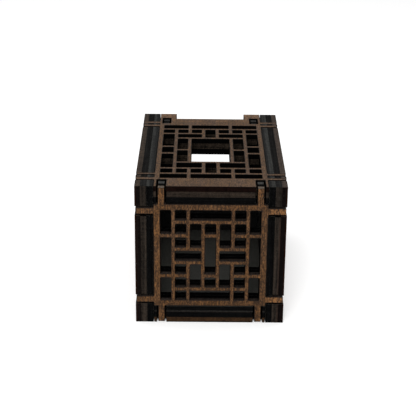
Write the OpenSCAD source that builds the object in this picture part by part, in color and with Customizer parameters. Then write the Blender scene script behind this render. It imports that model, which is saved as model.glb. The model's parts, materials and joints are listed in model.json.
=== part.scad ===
// Wooden puzzle box: six walls, each a stack of three laser-cut sheets,
// with long arms that reach through each other at the corners, an end lid
// that pulls straight out, and four hidden lock bars in the middle sheets.
// Millimetres, +Z up. Origin: centre of the base, on the surface it rests on.
// The lid is at the -Y end, the fixed rear wall at the +Y end.

/* [Box] */
// Outside width, side wall to side wall
box_w = 90.7; // [89:0.1:96]
// Outside height, bottom to top
box_h = 90.2; // [89:0.1:96]
// Outside length, front to back
box_d = 135.6; // [134:0.1:144]

/* [Sheets] */
// Thickness of the outer, dark sheet of every wall
outer_t = 3.35; // [3:0.05:3.4]
// Thickness of the middle, lighter sheet of every wall
middle_t = 3.75; // [3.6:0.05:3.9]
// Thickness of the inner, blackened sheet of every wall
inner_t = 3.85; // [3.6:0.05:3.9]

/* [Lattice] */
// Width of the lattice bars
bar = 2.4; // [2:0.1:3]
// Border between the box's edge and the lattice field, side to side
field_margin = 15.2; // [15:0.1:16]
// Shift of the long lattice field towards the lid
field_shift = 4.7; // [3.5:0.1:5]
// Extra length of the long field's rows nearest the lid
front_more = 1.4; // [0:0.1:1.6]
// Extra width of the outermost cells of the top and bottom
edge_more = 0.7; // [0:0.1:0.8]

/* [Interlocking arms] */
// Width of the lid's and rear wall's arms
arm_w = 3.9; // [3.6:0.1:4.2]
// Arm centre line, measured in from the inner face of the wall beside it
arm_in = 4.85; // [4.6:0.05:5.2]
// Width of the slots that those arms pass through
slot_w = 5.8; // [5.4:0.1:6]
// How far the arm tips stop short of the outside
arm_short = 0.5; // [0.2:0.1:0.8]
// Front face of the rear wall, measured from the lid's face
rear_at = 115.3; // [114.8:0.1:116]
// Back edge of the top and bottom between their two rear tabs
back_edge = 125.1; // [124:0.1:125.6]
// Inner edge of the rear tabs, measured from the middle
tab_in = 23.1; // [21:0.1:25]

/* [Fit] */
// Gap between the top or bottom and the side walls
side_gap = 0.35; // [0.3:0.05:0.8]
// Gap each side of the lid
lid_gap = 0.25; // [0.2:0.05:0.4]
// Gap above the lid, and a little less below it
lid_gap_z = 0.6; // [0.4:0.05:0.7]

/* [Lock bars] */
// How far a lock bar slides, in the gap beside the lid's arm
lock_travel = 1.2; // [0.6:0.1:1.2]
// Depth of a lock bar, front to back
lock_d = 8.4; // [7.6:0.1:9]
// Width of the tongue at a lock bar's end
tongue_d = 3.2; // [2.6:0.1:3.3]
// Diameter of a guide pin
pin_dia = 2; // [1.6:0.1:2.4]
// Guide pins' distance from the middle of the bar
pin_at = 14; // [8:1:18]

/* [Hidden] */
$fn = 48;
e = 0.01;

wall = outer_t + middle_t + inner_t;
cavity = box_w / 2 - wall;              // inner face of a side wall, from the middle
hw = box_w / 2;
hh = box_h / 2;

// lattice: seven cells across, eleven along, seven up
cell_w = (box_w - 2 * field_margin - 6 * bar) / 7;
cell_h = (box_h - 2 * field_margin - 6 * bar) / 7;
field_l = 11 * cell_w + 10 * bar;
field_c = box_d / 2 - field_shift;      // middle of the long field, from the lid's face

// arms of the lid and the rear wall
arm_x = cavity - arm_in;                // upright arms, left and right of the middle
arm_z = hh - wall - arm_in;             // level arms, above and below the middle
reach = hw - arm_short;
reach_z = hh - arm_short;
lid_z = hh - 0.1;                       // the lid settles a little in its slots
lid_hw = cavity - lid_gap;
lid_hh = hh - wall - (lid_gap_z - 0.1);
flat_hw = cavity - side_gap;            // half width of the top and bottom

// thin arms of the top and bottom: [front, back] distances from the lid's face
arms_left = [[11.1, 14.6], [19.7, 21.9], [109.0, 112.2], [115.5, 118.5]];
arms_right = [[11.5, 14.2], [18.9, 21.6], [109.0, 112.2], [115.5, 118.5]];
// the slots in the side walls that take them
slots_left = [[10.1, 15.1], [18.7, 22.4], [107.5, 112.3], [115.3, 118.7]];
slots_right = [[10.4, 14.6], [17.7, 22.1], [107.5, 112.3], [115.3, 118.7]];

// lock bars
pocket_d = lock_d + 0.3;                // the pocket is cut this deep into the middle sheet
bar_half = arm_x - slot_w / 2 - 0.4;    // half length of a level lock bar
bar_half_z = arm_z - slot_w / 2 - 0.5;  // and of an upright one
bar_t = middle_t - 0.3;                 // the bar is sanded thinner than its sheet
pin_d = 5;                              // guide pins' distance from the lid's face
pin_r = pin_dia / 2;
pin_clear = 0.15;
tongue = 1.15;                          // tongue's reach past the bar at rest
notch_in = lock_travel;                 // depth of the lock notch in a lid arm
mid_y = outer_t + middle_t / 2;         // middle of the lid's middle sheet

// colours of the three sheets
outer_c = [0.42, 0.31, 0.22];
middle_c = [0.30, 0.25, 0.20];
inner_c = [0.12, 0.11, 0.10];
pin_c = [0.55, 0.42, 0.28];

// ---------- lattice fields ----------

// One opening, in cells: columns c0..c1 and rows r0..r1 of a field whose
// middle is at the origin. Rows may be fractions. An opening in column 0 is
// wide millimetres wider, outwards.
module opening(c0, r0, c1, r1, cw, ch, nc, nr, wide = 0) {
  fw = nc * cw + (nc - 1) * bar;
  fh = nr * ch + (nr - 1) * bar;
  x0 = -fw / 2 + c0 * (cw + bar) - (c0 == 0 ? wide : 0);
  x1 = -fw / 2 + c1 * (cw + bar) + cw;
  y1 = fh / 2 - r0 * (ch + bar);
  y0 = fh / 2 - r1 * (ch + bar) - ch;
  translate([x0, y0]) square([x1 - x0, y1 - y0]);
}

// The square field of the lid: one half, mirrored left to right.
module end_half(window) {
  cw = cell_w; ch = cell_h;
  // outer column
  for (r = [[0, 1], [2, 4], [5, 6]]) opening(0, r[0], 0, r[1], cw, ch, 7, 7);
  // second column, single squares
  for (r = window ? [4, 5, 6] : [0, 1, 2, 4, 5, 6]) opening(1, r, 1, r, cw, ch, 7, 7);
  // middle row slot
  opening(1, 3, 2, 3, cw, ch, 7, 7);
  // third column
  if (!window) opening(2, 1, 2, 2, cw, ch, 7, 7);
  opening(2, 4, 2, 5, cw, ch, 7, 7);
}
module end_field(window = false) {
  cw = cell_w; ch = cell_h;
  end_half(window);
  mirror([1, 0]) end_half(window);
  // wide slots above and below
  if (!window) opening(2, 0, 4, 0, cw, ch, 7, 7);
  opening(2, 6, 4, 6, cw, ch, 7, 7);
  // middle column
  if (!window) opening(3, 1, 3, 1, cw, ch, 7, 7);
  opening(3, window ? 3 : 2, 3, 4, cw, ch, 7, 7);
  opening(3, 5, 3, 5, cw, ch, 7, 7);
  // large window of the rear wall
  if (window) opening(1, 0, 5, 2, cw, ch, 7, 7);
}

// The long field: one quarter, mirrored both ways. ch is the cell's size
// across rows when the field lies lengthwise. The quarter's end is moved out
// by more, and the cells that reach it grow by as much.
module long_quarter(cw, ch, more, wide) {
  translate([0, more]) {
    opening(0, 0, 1, 0, cw, ch, 7, 11, wide);
    for (c = [0, 1, 2]) opening(c, 1, c, 1, cw, ch, 7, 11, wide);
  }
  for (d = [0, more]) translate([0, d]) opening(1, 2, 2, 2, cw, ch, 7, 11);
  // outer column: a tall cell beside the small one in the middle
  p = ch + bar;
  small = 0.7 * p - bar / 2;
  top = (11 * ch + 10 * bar) / 2 - 2 * p;
  x0 = -(7 * cw + 6 * bar) / 2;
  translate([x0 - wide, small + bar]) square([cw + wide, top - small - bar + more]);
  // second column: half of the tall pair
  translate([x0 + cw + bar, bar / 2]) square([cw, top - p - bar / 2]);
}
module long_field(cw, ch, wide = 0) {
  for (mx = [0, 1]) for (my = [0, 1])
    mirror([mx, 0]) mirror([0, my]) long_quarter(cw, ch, my * front_more, wide);
  p = ch + bar;
  small = 0.7 * p - bar / 2;
  x0 = -(7 * cw + 6 * bar) / 2;
  for (s = [0, 1]) mirror([s, 0]) translate([x0 - wide, -small]) square([cw + wide, 2 * small]);
  for (s = [0, 1]) mirror([0, s]) {
    translate([0, s * front_more]) opening(2, 0, 4, 0, cw, ch, 7, 11);
    for (d = [0, s * front_more]) translate([0, d]) opening(3, 1, 3, 2, cw, ch, 7, 11);
  }
  opening(2, 3, 4, 7, cw, ch, 7, 11);
}

// ---------- sheet outlines ----------

// Rectangle from (x0, y0) to (x1, y1)
module rect(x0, y0, x1, y1) { translate([x0, y0]) square([x1 - x0, y1 - y0]); }

// Slot with round ends, from x0 to x1 between the end centres
module round_slot(x0, x1, r) {
  rect(x0, -r, x1, r);
  for (x = [x0, x1]) translate([x, 0]) circle(r);
}

// Top or bottom sheet, seen from above; y is the distance from the lid's face
module flat_sheet(lattice, pocket) {
  difference() {
    union() {
      rect(-flat_hw, 0, flat_hw, back_edge);
      for (s = [-1, 1]) rect(s < 0 ? -flat_hw : tab_in, back_edge - e,
                             s < 0 ? -tab_in : flat_hw, box_d);
      for (a = arms_left) rect(-reach, a[0], -flat_hw + e, a[1]);
      for (a = arms_right) rect(flat_hw - e, a[0], reach, a[1]);
    }
    for (s = [-1, 1]) {
      rect(s * arm_x - slot_w / 2, -1, s * arm_x + slot_w / 2, wall + 0.3);
      rect(s * arm_x - slot_w / 2, rear_at - 0.3, s * arm_x + slot_w / 2, rear_at + wall + 0.4);
    }
    if (lattice) translate([0, field_c]) long_field(cell_w, cell_w, edge_more);
    if (pocket) rect(-arm_x, -1, arm_x, pocket_d);
  }
}

// Side sheet; x is the distance from the lid's face, y is the height
module side_sheet(slots, lattice, pocket) {
  difference() {
    rect(0, 0, box_d, box_h);
    for (s = [-1, 1]) {
      rect(-1, hh + s * arm_z - slot_w / 2, wall + 0.3, hh + s * arm_z + slot_w / 2);
      rect(rear_at - 0.3, hh + s * arm_z - slot_w / 2, rear_at + wall + 0.3, hh + s * arm_z + slot_w / 2);
    }
    for (a = slots) {
      rect(a[0], box_h - wall, a[1], box_h + 1);
      rect(a[0], -1, a[1], wall);
    }
    if (lattice) translate([field_c, hh]) rotate(-90) long_field(cell_h, cell_w);
    if (pocket) rect(-1, hh - arm_z, pocket_d, hh + arm_z);
  }
}

// Lid or rear wall sheet, seen from the front; y is the height
module end_sheet(lattice, window = false, locks = false) {
  difference() {
    translate([0, lid_z]) difference() {
      union() {
        rect(-lid_hw, -lid_hh, lid_hw, lid_hh);
        for (s = [-1, 1]) {
          rect(s * arm_x - arm_w / 2, -reach_z + 0.1, s * arm_x + arm_w / 2, reach_z - 0.4);
          rect(-reach, s * arm_z - arm_w / 2, reach, s * arm_z + arm_w / 2);
        }
      }
      if (lattice) end_field(window);
      if (window && !lattice) opening(1, 0, 5, 2, cell_w, cell_h, 7, 7);
    }
    if (locks) {
      // top bar's notch in the right upper arm, bottom bar's in the left lower arm
      rect(arm_x - arm_w / 2 - 1, box_h - outer_t - middle_t - 0.1,
           arm_x - arm_w / 2 + notch_in, box_h - outer_t + 0.1);
      rect(-arm_x + arm_w / 2 - notch_in, outer_t - 0.1,
           -arm_x + arm_w / 2 + 1, outer_t + middle_t + 0.1);
      // side bars' notches under the upper level arms
      for (s = [-1, 1])
        rect(s * (hw - outer_t - middle_t / 2) - middle_t / 2 - 0.1, lid_z + arm_z - arm_w / 2 - 1,
             s * (hw - outer_t - middle_t / 2) + middle_t / 2 + 0.1, lid_z + arm_z - arm_w / 2 + notch_in);
    }
  }
}

// Lock bar, lying along x with its tongue at the +x end; y runs into the box
module lock_bar_outline(half) {
  difference() {
    union() {
      rect(-half, 0, half, lock_d);
      rect(half - e, mid_y - tongue_d / 2, half + tongue, mid_y + tongue_d / 2);
    }
    for (s = [-1, 1]) translate([s * pin_at, pin_d])
      round_slot(-lock_travel, 0, pin_r + pin_clear);
  }
}

// ---------- placing the sheets ----------

// Level sheet from height z, t thick, with blind pin holes h deep from one face
module level(z, t) { translate([0, -box_d / 2, z]) linear_extrude(t) children(); }
// Upright side sheet from x, t thick
module upright(x, t) {
  translate([x, -box_d / 2, 0]) rotate([90, 0, 90]) linear_extrude(t) children();
}
// End sheet from distance y behind the lid's face, t thick
module across(y, t) {
  translate([0, -box_d / 2 + y + t, 0]) rotate([90, 0, 0]) linear_extrude(t) children();
}

// Guide pins of one wall, standing on z = 0 at the wall's outer face, pointing
// into the box; x runs along the lock bar
pin_from = 1.5;
pin_len = 7.2;
module pins(r, from = pin_from, len = pin_len) {
  for (s = [-1, 1]) translate([s * pin_at, pin_d, from]) cylinder(h = len, r = r);
}
// The four places where pins stand
module at_top() { translate([0, -box_d / 2, box_h]) mirror([0, 0, 1]) children(); }
module at_bottom() { translate([0, -box_d / 2, 0]) mirror([1, 0, 0]) children(); }
module at_left() { translate([-hw, -box_d / 2, hh]) rotate([0, -90, 0]) mirror([0, 0, 1]) children(); }
module at_right() { translate([hw, -box_d / 2, hh]) rotate([0, -90, 0]) children(); }

// ---------- top ----------
module top_outer_lattice() {
  color(outer_c) difference() {
    level(box_h - outer_t, outer_t) flat_sheet(true, false);
    at_top() pins(pin_r);
  }
}
module top_middle_lattice() {
  color(middle_c) level(box_h - outer_t - middle_t, middle_t) flat_sheet(true, true);
}
module top_inner_lattice() {
  color(inner_c) difference() {
    level(box_h - wall, inner_t) flat_sheet(true, false);
    at_top() pins(pin_r);
  }
}

// ---------- bottom ----------
module bottom_outer_lattice() {
  color(outer_c) difference() {
    level(0, outer_t) flat_sheet(true, false);
    at_bottom() pins(pin_r);
  }
}
module bottom_middle_lattice() {
  color(middle_c) level(outer_t, middle_t) flat_sheet(true, true);
}
module bottom_inner_board() {
  color(inner_c) difference() {
    level(outer_t + middle_t, inner_t) flat_sheet(false, false);
    at_bottom() pins(pin_r);
  }
}

// ---------- left and right ----------
module left_outer_lattice() {
  color(outer_c) difference() {
    upright(-hw, outer_t) side_sheet(slots_left, true, false);
    at_left() pins(pin_r);
  }
}
module left_middle_lattice() {
  color(middle_c) upright(-hw + outer_t, middle_t) side_sheet(slots_left, true, true);
}
module left_inner_board() {
  color(inner_c) difference() {
    upright(-cavity - inner_t, inner_t) side_sheet(slots_left, false, false);
    at_left() pins(pin_r);
  }
}
module right_outer_lattice() {
  color(outer_c) difference() {
    upright(hw - outer_t, outer_t) side_sheet(slots_right, true, false);
    at_right() pins(pin_r);
  }
}
module right_middle_lattice() {
  color(middle_c) upright(hw - outer_t - middle_t, middle_t) side_sheet(slots_right, true, true);
}
module right_inner_board() {
  color(inner_c) difference() {
    upright(cavity, inner_t) side_sheet(slots_right, false, false);
    at_right() pins(pin_r);
  }
}

// ---------- rear wall ----------
module rear_outer_lattice() {
  color(outer_c) across(rear_at + inner_t + middle_t, outer_t) end_sheet(true, true);
}
module rear_middle_lattice() {
  color(middle_c) across(rear_at + inner_t, middle_t) end_sheet(true, true);
}
module rear_inner_board() {
  color(inner_c) across(rear_at, inner_t) end_sheet(false, true);
}

// ---------- lid ----------
module lid_outer_lattice() {
  color(outer_c) across(0, outer_t) end_sheet(true);
}
module lid_middle_lattice() {
  color(middle_c) across(outer_t, middle_t) end_sheet(true, false, true);
}
module lid_inner_lattice() {
  color(inner_c) across(outer_t + middle_t, inner_t) end_sheet(true);
}

// ---------- lock bars and their pins ----------
// A bar as it lies in the top: flat, its outer face just under the outer sheet
module lock_bar(half) {
  translate([0, 0, outer_t + (middle_t - bar_t) / 2]) linear_extrude(bar_t) lock_bar_outline(half);
}
module top_lock_bar() { color(middle_c) at_top() lock_bar(bar_half); }
module bottom_lock_bar() { color(middle_c) at_bottom() lock_bar(bar_half); }
module left_lock_bar() { color(middle_c) at_left() lock_bar(bar_half_z); }
module right_lock_bar() { color(middle_c) at_right() lock_bar(bar_half_z); }
module guide_pins() {
  color(pin_c) {
    at_top() pins(pin_r - 0.02);
    at_bottom() pins(pin_r - 0.02);
    at_left() pins(pin_r - 0.02);
    at_right() pins(pin_r - 0.02);
  }
}

top_outer_lattice();
top_middle_lattice();
top_inner_lattice();
bottom_outer_lattice();
bottom_middle_lattice();
bottom_inner_board();
left_outer_lattice();
left_middle_lattice();
left_inner_board();
right_outer_lattice();
right_middle_lattice();
right_inner_board();
rear_outer_lattice();
rear_middle_lattice();
rear_inner_board();
lid_outer_lattice();
lid_middle_lattice();
lid_inner_lattice();
top_lock_bar();
bottom_lock_bar();
left_lock_bar();
right_lock_bar();
guide_pins();
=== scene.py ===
import json
import math
import bpy
import bmesh
from mathutils import Matrix, Vector

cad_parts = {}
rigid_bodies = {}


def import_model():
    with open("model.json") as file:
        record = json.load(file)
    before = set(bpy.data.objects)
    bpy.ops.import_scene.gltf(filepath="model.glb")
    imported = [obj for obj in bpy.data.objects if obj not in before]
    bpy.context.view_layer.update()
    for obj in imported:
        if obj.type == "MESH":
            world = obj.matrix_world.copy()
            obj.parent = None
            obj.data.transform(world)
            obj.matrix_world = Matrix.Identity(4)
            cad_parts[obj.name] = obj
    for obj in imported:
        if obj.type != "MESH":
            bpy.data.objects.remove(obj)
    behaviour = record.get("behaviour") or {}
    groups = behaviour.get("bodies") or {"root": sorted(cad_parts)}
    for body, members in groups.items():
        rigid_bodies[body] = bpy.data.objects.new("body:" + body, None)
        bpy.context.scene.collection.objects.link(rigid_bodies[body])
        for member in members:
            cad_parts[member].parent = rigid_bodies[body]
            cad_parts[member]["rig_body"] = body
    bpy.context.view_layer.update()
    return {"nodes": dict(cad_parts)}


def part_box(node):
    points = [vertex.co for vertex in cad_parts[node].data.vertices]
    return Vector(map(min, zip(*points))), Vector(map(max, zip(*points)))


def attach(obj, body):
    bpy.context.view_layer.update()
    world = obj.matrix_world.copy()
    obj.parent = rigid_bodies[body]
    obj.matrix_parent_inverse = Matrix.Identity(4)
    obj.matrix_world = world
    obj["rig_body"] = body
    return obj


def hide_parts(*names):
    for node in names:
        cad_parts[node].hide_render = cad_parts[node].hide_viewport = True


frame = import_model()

MM = 0.001

# ---------------------------------------------------------------- camera
def make_camera():
    right = Vector((0.999941, -0.002523, 0.010569))
    up = Vector((-0.008762, 0.388146, 0.921556))
    back = Vector((-0.006427, -0.921594, 0.388101))
    cam_data = bpy.data.cameras.new("camera")
    cam_data.sensor_width = 36.0
    cam_data.lens = 101.096
    cam_data.clip_start, cam_data.clip_end = 0.02, 20
    cam = bpy.data.objects.new("camera", cam_data)
    m = Matrix.Identity(4)
    for i in range(3):
        m[i][0], m[i][1], m[i][2] = right[i], up[i], back[i]
    m.translation = Vector((-0.006148, -0.705746, 0.345191))
    cam.matrix_world = m
    bpy.context.scene.collection.objects.link(cam)
    bpy.context.scene.camera = cam
    return cam

cam = make_camera()

# ---------------------------------------------------------------- node helpers
class Nodes:
    """A little helper for writing shader trees."""
    def __init__(self, name):
        self.mat = bpy.data.materials.new(name)
        self.mat.use_nodes = True
        self.t = self.mat.node_tree
        self.t.nodes.clear()
        self.out = self.t.nodes.new("ShaderNodeOutputMaterial")
        self.bsdf = self.t.nodes.new("ShaderNodeBsdfPrincipled")
        self.t.links.new(self.bsdf.outputs[0], self.out.inputs["Surface"])
        self.tc = self.t.nodes.new("ShaderNodeTexCoord")
        self.x = 0

    def new(self, kind, **values):
        n = self.t.nodes.new(kind)
        self.x += 40
        n.location = (self.x, -self.x * 0.3)
        for k, v in values.items():
            setattr(n, k, v)
        return n

    def link(self, a, b):
        self.t.links.new(a, b)

    def feed(self, socket, value):
        if isinstance(value, (int, float)):
            socket.default_value = value
        elif isinstance(value, (tuple, list)):
            socket.default_value = (*value, 1.0) if len(value) == 3 and socket.type == "RGBA" else value
        else:
            self.link(value, socket)

    def coords(self, scale, offset=(0, 0, 0)):
        m = self.new("ShaderNodeMapping")
        self.link(self.tc.outputs["Object"], m.inputs["Vector"])
        m.inputs["Scale"].default_value = scale
        m.inputs["Location"].default_value = offset
        return m.outputs[0]

    def noise(self, vec, scale=1.0, detail=3.0, rough=0.55, distort=0.0):
        n = self.new("ShaderNodeTexNoise")
        self.link(vec, n.inputs["Vector"])
        n.inputs["Scale"].default_value = scale
        n.inputs["Detail"].default_value = detail
        n.inputs["Roughness"].default_value = rough
        n.inputs["Distortion"].default_value = distort
        return n.outputs["Fac"]

    def math(self, op, a, b=0.0, clamp=False):
        n = self.new("ShaderNodeMath", operation=op, use_clamp=clamp)
        self.feed(n.inputs[0], a)
        self.feed(n.inputs[1], b)
        return n.outputs[0]

    def ramp(self, fac, lo, hi, a=0.0, b=1.0):
        n = self.new("ShaderNodeMapRange", clamp=True)
        self.link(fac, n.inputs["Value"])
        n.inputs["From Min"].default_value = lo
        n.inputs["From Max"].default_value = hi
        n.inputs["To Min"].default_value = a
        n.inputs["To Max"].default_value = b
        return n.outputs[0]

    def mix(self, fac, a, b, blend="MIX"):
        n = self.new("ShaderNodeMix", data_type="RGBA", blend_type=blend)
        self.feed(n.inputs[0], fac)
        self.feed(n.inputs[6], a)
        self.feed(n.inputs[7], b)
        return n.outputs[2]

    def bump(self, height, distance, strength=1.0, normal=None):
        n = self.new("ShaderNodeBump")
        n.inputs["Strength"].default_value = strength
        n.inputs["Distance"].default_value = distance
        self.link(height, n.inputs["Height"])
        if normal is not None:
            self.link(normal, n.inputs["Normal"])
        return n.outputs[0]


def grain_scale(grain, along, across):
    s = [across] * 3
    s["xyz".index(grain)] = along
    return tuple(s)


def srgb(r, g, b):
    def f(c):
        c /= 255.0
        return c / 12.92 if c <= 0.04045 else ((c + 0.055) / 1.055) ** 2.4
    return (f(r), f(g), f(b))


def veneer(name, grain, base, seed, rough=0.6, spread=1.0, gloss=0.3, burn_col=(0.0022, 0.0014, 0.0011),
           rim_strength=0.95, warm=(1.0, 0.93, 0.80), cool=(0.94, 0.94, 1.02), speck=1.0,
           tone_zones=None):
    """Open-grained veneer: fibres, pores, soft figure, worn light flecks and a scorched rim beside each cut."""
    w = Nodes(name)
    off = (seed * 0.37, seed * 0.53, seed * 0.71)
    # soft figure: growth bands a few millimetres apart, bent by slow noise
    figure = w.noise(w.coords(grain_scale(grain, 14, 150), off), detail=3.0, rough=0.6, distort=0.4)
    # fibres at three widths
    broad = w.noise(w.coords(grain_scale(grain, 75, 620), off), detail=3.0, rough=0.6)
    mid = w.noise(w.coords(grain_scale(grain, 230, 1500), off), detail=2.0, rough=0.65)
    fine = w.noise(w.coords(grain_scale(grain, 520, 3600), off), detail=2.0, rough=0.6)
    mottle = w.noise(w.coords((240, 240, 240), off), detail=3.0, rough=0.6)
    hue_n = w.noise(w.coords(grain_scale(grain, 60, 130), (off[1], off[2], off[0])), detail=3.0, rough=0.6)
    fleck_n = w.noise(w.coords(grain_scale(grain, 520, 980), (off[0] + 3, off[1], off[2])), detail=2.0, rough=0.55)
    pore_n = w.noise(w.coords(grain_scale(grain, 420, 1900), off), detail=2.0, rough=0.5)
    pores = w.ramp(pore_n, 0.58, 0.68)
    flecks = w.ramp(fleck_n, 0.55, 0.70)

    def part(n, lo, hi, amp):
        return w.math("MULTIPLY", w.math("SUBTRACT", w.ramp(n, lo, hi), 0.5), amp * spread)
    # tone, centred on one
    tone = w.math("ADD", 1.0, part(figure, 0.32, 0.68, 0.22))
    tone = w.math("ADD", tone, part(broad, 0.32, 0.68, 0.32))
    grit = w.noise(w.coords(grain_scale(grain, 900, 1500), off), detail=1.0, rough=0.5)
    tone = w.math("ADD", tone, part(grit, 0.36, 0.64, 0.75 * speck))
    tone = w.math("ADD", tone, part(mid, 0.34, 0.66, 0.95 * speck))
    tone = w.math("ADD", tone, part(mottle, 0.30, 0.70, 0.22))
    tone = w.math("ADD", tone, w.math("MULTIPLY", flecks, 0.85 * spread * speck))
    tone = w.math("SUBTRACT", tone, w.math("MULTIPLY", pores, 0.18 * spread * speck))
    tone = w.math("SUBTRACT", tone, w.math("MULTIPLY", w.ramp(fine, 0.35, 0.7), 0.20 * spread))
    if tone_zones:
        # tone zones: on the lid the outer frame is lighter than the field, much lighter at the right side, and the
        # lid darker towards the bottom; on the top the face is lighter towards the back
        sep = w.new("ShaderNodeSeparateXYZ")
        w.link(w.tc.outputs["Object"], sep.inputs[0])
        if tone_zones == "arms":
            out = w.math("MAXIMUM", w.math("ABSOLUTE", sep.outputs[0]), w.math("ABSOLUTE", w.math("SUBTRACT", sep.outputs[2], 0.0451)))
            level = w.ramp(w.math("ABSOLUTE", sep.outputs[0]), 0.0335, 0.0375)
            gain = w.math("ADD", w.ramp(sep.outputs[0], -0.001, 0.001, 1.24, 1.22),
                          w.math("MULTIPLY", level, w.ramp(sep.outputs[0], -0.001, 0.001, -0.06, 0.95)))
            tone = w.math("MULTIPLY", tone, w.math("ADD", 1.0, w.math("MULTIPLY", w.ramp(out, 0.0325, 0.0385), w.math("SUBTRACT", gain, 1.0))))
            tone = w.math("MULTIPLY", tone, w.ramp(sep.outputs[2], 0.0115, 0.0175, 0.82, 1.0))
        else:
            tone = w.math("MULTIPLY", tone, w.ramp(sep.outputs[1], 0.050, 0.064, 1.0, 1.62))
    tone = w.math("MAXIMUM", tone, 0.38)
    hue = w.mix(w.ramp(hue_n, 0.38, 0.62), tuple(c * k for c, k in zip(base, cool)), tuple(c * k for c, k in zip(base, warm)))
    n = w.new("ShaderNodeVectorMath", operation="SCALE")
    w.link(hue, n.inputs[0])
    w.link(tone, n.inputs["Scale"])
    col = n.outputs[0]
    # scorched rim beside each cut
    att = w.new("ShaderNodeAttribute", attribute_name="burn", attribute_type="GEOMETRY")
    rim_n = w.noise(w.coords((700, 700, 700), off), detail=2.0)
    fac = att.outputs["Fac"]
    rim = w.math("MULTIPLY", w.math("POWER", fac, 1.3), w.ramp(rim_n, 0.35, 0.65, 0.45, 1.0))
    rim = w.math("MAXIMUM", rim, w.ramp(fac, 0.80, 0.97, 0.0, 0.95))
    col = w.mix(w.math("MULTIPLY", rim, rim_strength, clamp=True), col, burn_col)
    w.link(col, w.bsdf.inputs["Base Color"])
    # gloss and relief
    r = w.ramp(mid, 0.3, 0.7, rough - 0.08, rough + 0.08)
    r = w.math("ADD", r, w.math("MULTIPLY", pores, 0.15), clamp=True)
    w.link(r, w.bsdf.inputs["Roughness"])
    w.bsdf.inputs["Specular IOR Level"].default_value = gloss
    h = w.math("SUBTRACT", w.math("ADD", w.math("MULTIPLY", mid, 0.6), w.math("MULTIPLY", fine, 0.4)), pores)
    w.link(w.bump(h, 0.00008, 0.8), w.bsdf.inputs["Normal"])
    return w.mat


def cut_edge(name, thick, base, tint=None, seed=1.0, rough=0.66, gloss=0.018, char=0.45, plies=0.35, dust=0.0,
             skin=None, front=1.0, upper=1.0):
    """Laser-cut edge: striations through the thickness, plies along it, soot, dust, a coloured band at one level of
    the thickness (a real stain on some edges, painted shade on others, a painted highlight on one), painted light
    towards the forward end, and a tone gain above a given height.
    """
    w = Nodes(name)
    tint = tint or tuple(c * 1.35 for c in base)
    off = (seed * 0.41, seed * 0.29, seed * 0.83)
    stria = w.noise(w.coords(grain_scale(thick, 160, 1900), off), detail=3.0, rough=0.6)
    blotch = w.noise(w.coords((260, 260, 260), off), detail=3.0, rough=0.6)
    spot = w.noise(w.coords((900, 900, 900), off), detail=2.0)
    fine = w.noise(w.coords((4200, 4200, 4200), off), detail=2.0)
    ply = w.noise(w.coords(grain_scale(thick, 1100, 30), off), detail=2.0, rough=0.5)
    col = w.mix(w.ramp(blotch, 0.38, 0.64), base, tint)
    # coloured band along one level of the thickness: a stain on some edges, painted shade on others, a painted
    # highlight on one
    if skin:
        level, depth, colour = skin
        sep = w.new("ShaderNodeSeparateXYZ")
        w.link(w.tc.outputs["Object"], sep.inputs[0])
        d = w.math("ABSOLUTE", w.math("SUBTRACT", sep.outputs["xyz".index(thick)], level))
        d = w.math("ADD", d, w.math("MULTIPLY", w.math("SUBTRACT", blotch, 0.5), depth * 0.8))
        col = w.mix(w.ramp(d, depth * 0.7, depth * 1.2, 1.0, 0.0), col, colour)
    # painted light: the colour is raised by the given gain on the forward 10 mm of the edge (y below -0.0575), where
    # the edge is lit; behind that the darker base stands in for shade
    if front != 1.0:
        sep = w.new("ShaderNodeSeparateXYZ")
        w.link(w.tc.outputs["Object"], sep.inputs[0])
        col = w.mix(w.ramp(sep.outputs[1], -0.0575, -0.0545, 1.0, 0.0), col, tuple(c * front for c in base))
    if upper != 1.0:
        sep = w.new("ShaderNodeSeparateXYZ")
        w.link(w.tc.outputs["Object"], sep.inputs[0])
        col = w.mix(w.ramp(sep.outputs[2], 0.0685, 0.0715), col, tuple(c * upper for c in base))
    lines = w.math("MULTIPLY", w.math("SUBTRACT", w.ramp(ply, 0.36, 0.64), 0.5), plies * 2)
    grit = w.noise(w.coords((1150, 1150, 1150), (off[2], off[1], off[0])), detail=1.0)
    lines = w.math("ADD", lines, w.math("MULTIPLY", w.math("SUBTRACT", w.ramp(grit, 0.36, 0.64), 0.5), 0.55))
    soot = w.math("MULTIPLY", w.ramp(stria, 0.40, 0.68), char)
    spots = w.math("MULTIPLY", w.ramp(spot, 0.56, 0.72), char)
    tone = w.math("SUBTRACT", w.math("SUBTRACT", w.math("ADD", 1.0 + char * 0.35, lines), soot), spots)
    n = w.new("ShaderNodeVectorMath", operation="SCALE")
    w.link(col, n.inputs[0])
    w.link(w.math("MAXIMUM", tone, 0.08), n.inputs["Scale"])
    col = n.outputs[0]
    if dust:
        dn = w.noise(w.coords((1500, 1500, 1500), (off[1], off[0], off[2])), detail=2.0, distort=1.2)
        scr = w.noise(w.coords((420, 900, 420), (off[2], off[0], off[1])), detail=2.0, distort=2.5)
        col = w.mix(w.math("MULTIPLY", w.ramp(dn, 0.66, 0.74), dust), col, (0.055, 0.055, 0.052))
        col = w.mix(w.math("MULTIPLY", w.ramp(w.math("ABSOLUTE", w.math("SUBTRACT", scr, 0.5)), 0.0, 0.008, 1.0, 0.0), dust * 0.35),
                    col, (0.05, 0.05, 0.047))
    w.link(col, w.bsdf.inputs["Base Color"])
    r = w.ramp(stria, 0.3, 0.7, rough - 0.08, rough + 0.12)
    w.link(r, w.bsdf.inputs["Roughness"])
    w.bsdf.inputs["Specular IOR Level"].default_value = gloss
    h = w.math("ADD", w.math("MULTIPLY", stria, 0.8), w.math("MULTIPLY", fine, 0.35))
    w.link(w.bump(h, 0.00005, 0.7), w.bsdf.inputs["Normal"])
    return w.mat


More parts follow.
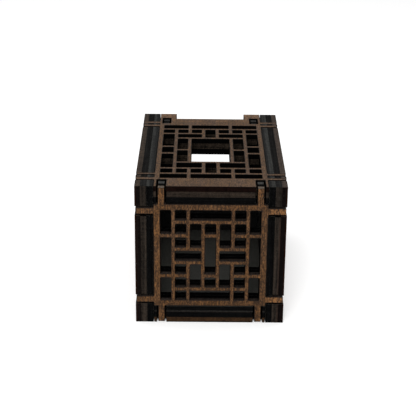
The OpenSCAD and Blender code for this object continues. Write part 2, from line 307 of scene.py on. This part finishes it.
# ---------------------------------------------------------------- sheets
# node: (thickness axis, sign of the face that carries no pin holes, grain axis)
SHEETS = {
    "top_outer_lattice": ("z", 1, "y"), "top_middle_lattice": ("z", 1, "x"), "top_inner_lattice": ("z", -1, "y"),
    "bottom_outer_lattice": ("z", -1, "x"), "bottom_middle_lattice": ("z", -1, "y"), "bottom_inner_board": ("z", 1, "x"),
    "left_outer_lattice": ("x", -1, "y"), "left_middle_lattice": ("x", -1, "z"), "left_inner_board": ("x", 1, "y"),
    "right_outer_lattice": ("x", 1, "y"), "right_middle_lattice": ("x", 1, "z"), "right_inner_board": ("x", -1, "y"),
    "rear_outer_lattice": ("y", 1, "z"), "rear_middle_lattice": ("y", 1, "x"), "rear_inner_board": ("y", -1, "z"),
    "lid_outer_lattice": ("y", -1, "z"), "lid_middle_lattice": ("y", -1, "x"), "lid_inner_lattice": ("y", 1, "z"),
    "top_lock_bar": ("z", 1, "x"), "bottom_lock_bar": ("z", -1, "x"),
    "left_lock_bar": ("x", -1, "z"), "right_lock_bar": ("x", 1, "z"),
}
PLANE = {"x": (1, 2), "y": (2, 0), "z": (0, 1)}      # the two axes of the sheet, right-handed about its thickness


def cap_loops(node, axis, sign):
    """Outlines of the sheet's flat face, read from the CAD solid, with the wood on the left."""
    o = frame["nodes"][node]
    k = "xyz".index(axis)
    lo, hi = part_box(node)
    level = hi[k] if sign > 0 else lo[k]
    me = o.data
    me.calc_loop_triangles()
    key = {}
    pts = []
    def vid(co):
        q = (round(co[0] * 1e7), round(co[1] * 1e7), round(co[2] * 1e7))
        if q not in key:
            key[q] = len(pts)
            pts.append(tuple(co))
        return key[q]
    u, v = PLANE[axis]
    edges = {}
    for t in me.loop_triangles:
        cs = [me.vertices[i].co for i in t.vertices]
        if any(abs(c[k] - level) > 1e-6 for c in cs):
            continue
        ids = [vid(c) for c in cs]
        if len(set(ids)) < 3:
            continue
        a, b, c = (pts[i] for i in ids)
        area = (b[u] - a[u]) * (c[v] - a[v]) - (b[v] - a[v]) * (c[u] - a[u])
        if area < 0:
            ids = [ids[0], ids[2], ids[1]]
        for i in range(3):
            e = (ids[i], ids[(i + 1) % 3])
            if (e[1], e[0]) in edges:
                del edges[(e[1], e[0])]
            else:
                edges[e] = True
    nxt = {}
    for a, b in edges:
        nxt.setdefault(a, []).append(b)
    loops = []
    while nxt:
        start = next(iter(nxt))
        loop, cur = [], start
        while cur in nxt:
            loop.append(cur)
            n = nxt[cur].pop()
            if not nxt[cur]:
                del nxt[cur]
            cur = n
            if cur == start:
                break
        P = [Vector((pts[i][u], pts[i][v])) for i in loop]
        # drop points that lie on a straight run
        Q = []
        n = len(P)
        for i in range(n):
            d1 = (P[i] - P[i - 1])
            d2 = (P[(i + 1) % n] - P[i])
            if d1.length < 1e-7:
                continue
            if abs(d1.x * d2.y - d1.y * d2.x) > 1e-3 * d1.length * d2.length:
                Q.append(P[i])
        if len(Q) >= 3:
            loops.append(Q)
    return loops, lo[k], hi[k]


ARC = 4


def ring(P, inset, r_convex, r_reflex):
    """The loop P moved into the wood by inset, with rounded corners; always the same number of points."""
    n = len(P)
    out = []
    for i in range(n):
        a, b, c = P[i - 1], P[i], P[(i + 1) % n]
        d1, d2 = (b - a).normalized(), (c - b).normalized()
        n1, n2 = Vector((-d1.y, d1.x)), Vector((-d2.y, d2.x))
        cross = d1.x * d2.y - d1.y * d2.x
        dot = max(-1.0, min(1.0, d1.dot(d2)))
        turn = math.atan2(cross, dot)
        m = b + (n1 + n2) * (inset / (1.0 + n1.dot(n2)))
        if abs(turn) < math.radians(30):
            out.append(m)
            continue
        r = (r_convex - inset) if turn > 0 else (r_reflex + inset)
        r = max(r, 0.02 * MM)
        t = r * math.tan(abs(turn) / 2)
        s = 1 if turn > 0 else -1
        p0 = m - d1 * t
        centre = p0 + n1 * (r * s)
        start = (p0 - centre)
        for j in range(ARC):
            ang = turn * j / (ARC - 1)
            ca, sa = math.cos(ang), math.sin(ang)
            out.append(centre + Vector((start.x * ca - start.y * sa, start.x * sa + start.y * ca)))
    return out


def build_sheet(node, axis, sign, grain, mats, r_convex=0.22, r_reflex=0.60, chamfer=0.15, halo=0.5):
    """Materials: face, then cut edges square to the grain and along it - round the outside, then inside the openings."""
    loops, z0, z1 = cap_loops(node, axis, sign)
    k = "xyz".index(axis)
    u, v = PLANE[axis]
    c = chamfer * MM
    # (inset, height, burn)
    prof = [(c + halo * MM, z0, 0.0), (c, z0, 1.0), (c * 0.3, z0 + c * 0.3, 1.0), (0.0, z0 + c, 1.0),
            (0.0, z1 - c, 1.0), (c * 0.3, z1 - c * 0.3, 1.0), (c, z1, 1.0), (c + halo * MM, z1, 0.0)]
    bm = bmesh.new()
    burn = bm.verts.layers.float.new("burn")
    inside = bm.faces.layers.int.new("inside")
    caps = [[], []]
    for P in loops:
        rings = []
        n = len(P)
        hole = sum(P[i - 1].x * P[i].y - P[i].x * P[i - 1].y for i in range(n)) < 0
        for inset, z, heat in prof:
            R = ring(P, inset, r_convex * MM, r_reflex * MM)
            vs = []
            for p in R:
                co = [0.0, 0.0, 0.0]
                co[u], co[v], co[k] = p.x, p.y, z
                bv = bm.verts.new(co)
                bv[burn] = heat
                vs.append(bv)
            rings.append(vs)
        n = len(rings[0])
        for a, b in zip(rings, rings[1:]):
            for i in range(n):
                j = (i + 1) % n
                bm.faces.new((a[i], a[j], b[j], b[i]))[inside] = int(hole)
        for side, r in ((0, rings[0]), (1, rings[-1])):
            caps[side].extend((r[i], r[(i + 1) % n]) for i in range(n))
    for side in (0, 1):
        es = [bm.edges.get(e) or bm.edges.new(e) for e in caps[side]]
        before = set(bm.faces)
        bmesh.ops.triangle_fill(bm, use_beauty=True, use_dissolve=False, edges=es)
        new = [f for f in bm.faces if f not in before]
        bmesh.ops.dissolve_limit(bm, angle_limit=0.001, verts=list(dict.fromkeys(x for f in new for x in f.verts)),
                                 edges=list(dict.fromkeys(x for f in new for x in f.edges if x not in es)), use_dissolve_boundaries=False)
    bmesh.ops.recalc_face_normals(bm, faces=bm.faces)
    me = bpy.data.meshes.new(node + "_wood")
    g = "xyz".index(grain)
    lo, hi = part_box(node)
    for f in bm.faces:
        nrm = f.normal
        c = f.calc_center_median()
        if not any(min(abs(c[a] - lo[a]), abs(hi[a] - c[a])) < 0.25 * MM for a in (u, v)):
            f[inside] = 1
        if abs(nrm[k]) > 0.6:
            f.material_index = 0
        elif abs(nrm[g]) > 0.72:
            f.material_index = 3 if f[inside] else 1
        else:
            f.material_index = 4 if f[inside] else 2
        f.smooth = False
    bm.to_mesh(me)
    bm.free()
    for m in mats:
        me.materials.append(m)
    o = bpy.data.objects.new(node + "_wood", me)
    bpy.context.scene.collection.objects.link(o)
    body = frame["nodes"][node]["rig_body"]
    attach(o, body)
    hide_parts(node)
    return o


# ---------------------------------------------------------------- the finishes
def finishes(node, axis, sign, grain, seed):
    """face; outside edges square to the grain, along the grain; the same two inside the openings"""
    end_wall = node.startswith(("lid", "rear"))
    lo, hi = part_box(node)
    k = "xyz".index(axis)
    outer_level = hi[k] if sign > 0 else lo[k]

    def edge(tag, base, **kw):
        return cut_edge(node + tag, axis, base, seed=seed + len(tag), **kw)
    soot = (0.0007, 0.0006, 0.0006)
    if "outer" in node:
        if node.startswith("rear"):
            face = veneer(node + "_face", grain, LID_FACE, seed, rough=0.60, gloss=0.12, spread=1.15)
            return [face, edge("_end", (0.0200, 0.0192, 0.0182), gloss=0.05, dust=0.4), edge("_side", (0.0040, 0.0022, 0.0016)),
                    edge("_cell_end", (0.026, 0.0195, 0.0165), gloss=0.06), edge("_cell_side", (0.0030, 0.0016, 0.0012))]
        if end_wall:
            face = veneer(node + "_face", grain, LID_FACE, seed, rough=0.60, gloss=0.12, spread=1.40, tone_zones="arms")
            # the outside end edges (arm tips) get a much lighter colour than the same cut edges in the cells:
            # painted light on the exposed edges, painted shade on the cell sills, plus dust
            return [face, edge("_end", (0.085, 0.065, 0.049), gloss=0.12, dust=0.5, char=0.3), edge("_side", (0.0040, 0.0022, 0.0016)),
                    edge("_cell_end", (0.026, 0.0195, 0.0165), gloss=0.06), edge("_cell_side", (0.0030, 0.0016, 0.0012))]
        face = veneer(node + "_face", grain, TOP_FACE, seed, rough=0.60, gloss=0.20, spread=1.0,
                      tone_zones="back" if node.startswith("top") else None)
        if node.startswith("bottom"):
            # the dark band 0.6 mm high along the lowest level of the y-facing edges is painted contact shadow where
            # the box meets the floor
            return [face, edge("_end", (0.0030, 0.0014, 0.0011)), edge("_side", (0.0245, 0.0118, 0.0050), plies=0.15, gloss=0.04, skin=(lo[k], 0.0006, (0.0020, 0.0012, 0.0010))),
                    edge("_cell_end", soot), edge("_cell_side", soot)]
        if node.startswith("top"):
            return [face, edge("_end", (0.0036, 0.0013, 0.0009), plies=0.2), edge("_side", (0.0060, 0.0040, 0.0032)),
                    edge("_cell_end", soot), edge("_cell_side", soot)]
        skin = (outer_level, 0.0008, (0.0120, 0.0036, 0.0016))
        right = node.startswith("right")
        return [face, edge("_end", (0.0024, 0.0013, 0.0012) if right else (0.0040, 0.0024, 0.0020), skin=skin, dust=0.3 if right else 0.4),
                edge("_side", (0.0345, 0.0242, 0.0185) if node.startswith("right") else (0.0265, 0.0180, 0.0120), gloss=0.12, plies=0.3, dust=0.6),
                edge("_cell_end", soot), edge("_cell_side", (0.0016, 0.0011, 0.0009))]
    if "middle" in node or "lock_bar" in node:
        face = veneer(node + "_face", grain, (0.050, 0.036, 0.025), seed, rough=0.6, gloss=0.2, rim_strength=0.8)
        if end_wall:
            # the outside end edges get a grey colour, the same cut edges in the cells near black: painted light on
            # the exposed edges, painted shade on the cell sills, plus dust
            return [face, edge("_end", (0.0195, 0.0190, 0.0180) if node.startswith("rear") else (0.0330, 0.0300, 0.0260), char=0.1), edge("_side", soot), edge("_cell_end", soot), edge("_cell_side", soot)]
        if node.startswith("bottom"):
            return [face, edge("_end", (0.0014, 0.0014, 0.0015)), edge("_side", (0.0014, 0.0014, 0.0015)), edge("_cell_end", soot), edge("_cell_side", (0.010, 0.0075, 0.006))]
        if node.startswith("top"):
            return [face, edge("_end", (0.008, 0.007, 0.0065)), edge("_side", (0.0150, 0.0105, 0.0076), gloss=0.04, plies=0.35, dust=0.3),
                    edge("_cell_end", soot), edge("_cell_side", (0.0165, 0.0120, 0.0085), gloss=0.04, char=0.9, plies=0.5)]
        # the side middle sheets' top edges get a near-black base, painted shade for the slots between the lid's
        # arms, raised 2.7 times on the forward 10 mm where the edge is lit (painted light); dust on top
        return [face, edge("_end", (0.0049, 0.0048, 0.0046), dust=0.5, front=2.7), edge("_side", (0.0150, 0.0112, 0.0084), gloss=0.04, plies=0.5, dust=0.4, upper=0.65 if node.startswith("right") else 0.80,
                                                                                     skin=(hi[k], 0.0009, (0.0182, 0.0110, 0.0080)) if node.startswith("right") else None),
                edge("_cell_end", soot), edge("_cell_side", (0.0016, 0.0012, 0.0010))]
    if node in ("bottom_inner_board", "left_inner_board", "right_inner_board"):
        face = veneer(node + "_face", grain, (0.052, 0.051, 0.044), seed, rough=0.42, gloss=0.35, spread=0.40, speck=0.4,
                      rim_strength=0.3, warm=(1, 1, 1), cool=(1, 1, 1))
    else:
        face = veneer(node + "_face", grain, (0.010, 0.0098, 0.0092), seed, rough=0.5, gloss=0.25, spread=0.6,
                      rim_strength=0.6, warm=(1, 1, 1), cool=(1, 1, 1))
    if end_wall:
        # the outside end edges get a grey colour, the same cut edges in the cells near black: painted light on the
        # exposed edges, painted shade on the cell sills, plus dust
        return [face, edge("_end", (0.0195, 0.0190, 0.0182) if node.startswith("rear") else (0.031, 0.0305, 0.029), gloss=0.08, dust=0.5), edge("_side", soot), edge("_cell_end", soot), edge("_cell_side", soot)]
    black = (0.0010, 0.0010, 0.0011)
    if node.startswith("bottom"):
        # painted highlight: a lighter band along the lower level of the board's y-facing edges, on an otherwise
        # black edge
        skin = (lo[k], 0.0011, (0.013, 0.012, 0.011))
        return [face, edge("_end", black), edge("_side", black, skin=skin, dust=0.3), edge("_cell_end", soot), edge("_cell_side", soot)]
    if node.startswith("top"):
        return [face, edge("_end", black, plies=0.5, dust=0.25), edge("_side", black), edge("_cell_end", soot), edge("_cell_side", (0.0020, 0.0018, 0.0016))]
    right = node.startswith("right")
    # painted shade: a dark band 1.4 to 2.0 mm wide along the inner side of the boards' top and bottom edges darkens
    # the line beside the top boards, partly a real gap and partly this painted shade
    skin = (lo[k] if right else hi[k], 0.0014 if right else 0.0020, (0.0022, 0.0022, 0.0021))
    return [face, edge("_end", black, plies=0.5, dust=0.4), edge("_side", (0.0155, 0.0157, 0.0143), gloss=0.12, plies=0.45, dust=0.6, skin=skin),
            edge("_cell_end", soot), edge("_cell_side", soot)]


LID_FACE = (0.066, 0.0315, 0.0118)
TOP_FACE = (0.080, 0.0455, 0.0240)

for i, (node, (axis, sign, grain)) in enumerate(SHEETS.items()):
    thin = node == "lid_middle_lattice"
    build_sheet(node, axis, sign, grain, finishes(node, axis, sign, grain, i + 1.0), halo=0.3 if thin else 0.50)

# guide pins keep their CAD shape
pin_mat = veneer("dowel", "z", (0.20, 0.12, 0.06), 40.0, spread=0.5)
pins = frame["nodes"]["guide_pins"]
pins.data.materials.clear()
pins.data.materials.append(pin_mat)

# ---------------------------------------------------------------- floor and light
FLOOR_GLOW = 0.38


def make_floor():
    me = bpy.data.meshes.new("floor")
    s = 3.0
    me.from_pydata([(-s, -s, 0), (s, -s, 0), (s, s, 0), (-s, s, 0)], [], [(0, 1, 2, 3)])
    o = bpy.data.objects.new("floor", me)
    bpy.context.scene.collection.objects.link(o)
    w = Nodes("floor")
    n = w.noise(w.coords((3, 3, 3)), detail=2.0)
    col = w.mix(w.ramp(n, 0.3, 0.7), (0.78, 0.78, 0.78), (0.80, 0.80, 0.797))
    # a light table: the floor glows a little of its own, except where the box stands on it; beneath the box's
    # footprint the glow is cut and the colour painted near black: a painted contact shadow
    sep = w.new("ShaderNodeSeparateXYZ")
    w.link(w.tc.outputs["Object"], sep.inputs[0])
    painted_shade_under_box = w.math("MULTIPLY", w.ramp(w.math("ABSOLUTE", sep.outputs[0]), 0.044, 0.0455, 1.0, 0.0),
                   w.math("MULTIPLY", w.ramp(sep.outputs[1], -0.0665, -0.0630), w.ramp(sep.outputs[1], 0.056, 0.066, 1.0, 0.0)))
    col = w.mix(painted_shade_under_box, col, (0.02, 0.02, 0.02))
    w.link(col, w.bsdf.inputs["Base Color"])
    w.bsdf.inputs["Roughness"].default_value = 0.9
    w.bsdf.inputs["Specular IOR Level"].default_value = 0.1
    w.bsdf.inputs["Emission Color"].default_value = (1, 1, 1, 1)
    w.link(w.math("MULTIPLY", FLOOR_GLOW, w.math("SUBTRACT", 1.0, painted_shade_under_box)), w.bsdf.inputs["Emission Strength"])
    me.materials.append(w.mat)
    return o


def area(name, loc, target, size, power, colour=(1, 1, 1)):
    d = bpy.data.lights.new(name, "AREA")
    d.shape = "RECTANGLE"
    d.size, d.size_y = size
    d.energy = power
    d.color = colour
    o = bpy.data.objects.new(name, d)
    o.location = loc
    o.rotation_mode = "QUATERNION"
    o.rotation_quaternion = (Vector(target) - Vector(loc)).to_track_quat("-Z", "Y")
    bpy.context.scene.collection.objects.link(o)
    return o


make_floor()
world = bpy.data.worlds.new("studio")
bpy.context.scene.world = world
world.use_nodes = True
world.node_tree.nodes["Background"].inputs[0].default_value = (1, 1, 1, 1)
world.node_tree.nodes["Background"].inputs[1].default_value = 0.45
area("key", (-0.22, -1.25, 0.68), (0, 0, 0.04), (0.55, 0.55), 10.0)
area("overhead", (-0.04, 0.05, 1.30), (0, 0, 0.05), (1.1, 1.1), 9.2)

bpy.context.scene.view_settings.view_transform = "Standard"
bpy.context.scene.view_settings.look = "None"
